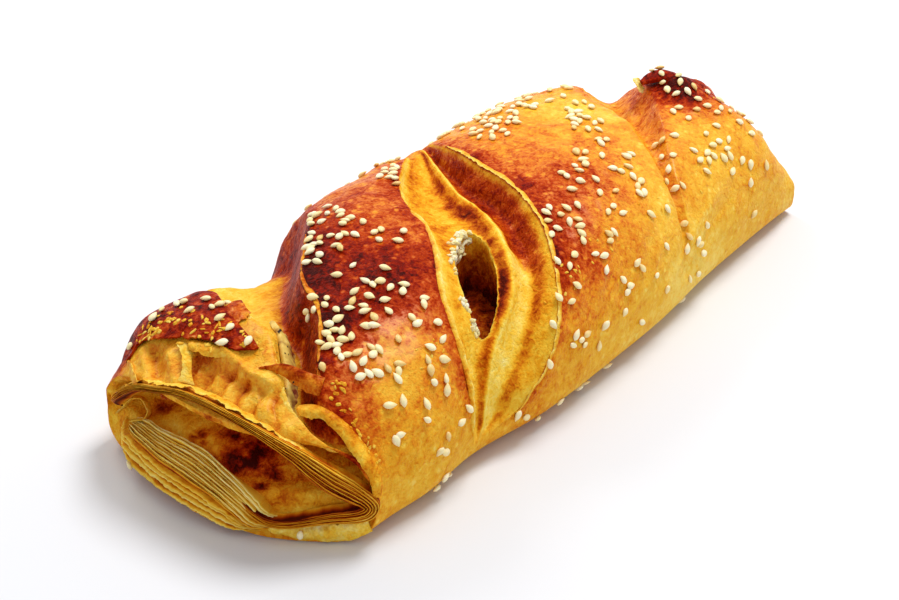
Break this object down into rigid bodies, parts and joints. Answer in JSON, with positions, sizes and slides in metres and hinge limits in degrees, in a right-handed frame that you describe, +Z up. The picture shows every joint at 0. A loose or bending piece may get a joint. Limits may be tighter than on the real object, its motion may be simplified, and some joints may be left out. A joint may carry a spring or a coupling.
{
  "type": "cheese-filled puff pastry parcel",
  "caption": "Long sesame-topped puff pastry parcel with diagonal slashes, an open layered end and a crumbly white cheese filling.",
  "frame": {"origin": "middle of the bounding box's bottom, on the surface that the pastry lies on", "axes": "+X along the length, away from the open layered end; -Y is the long side with the lower tips of the slashes; +Z up"},
  "size_m": [0.237, 0.0925, 0.0476],
  "materials": {
    "crust": "egg-washed golden to red-brown baked crust",
    "layers": "matte pale golden inner layers",
    "cheese": "moist crumbly white cheese",
    "sesame": "smooth cream seed"
  },
  "bodies": {
    "root": {"pastry": "crust", "cheese_filling": "cheese"}
  },
  "joints": []
}
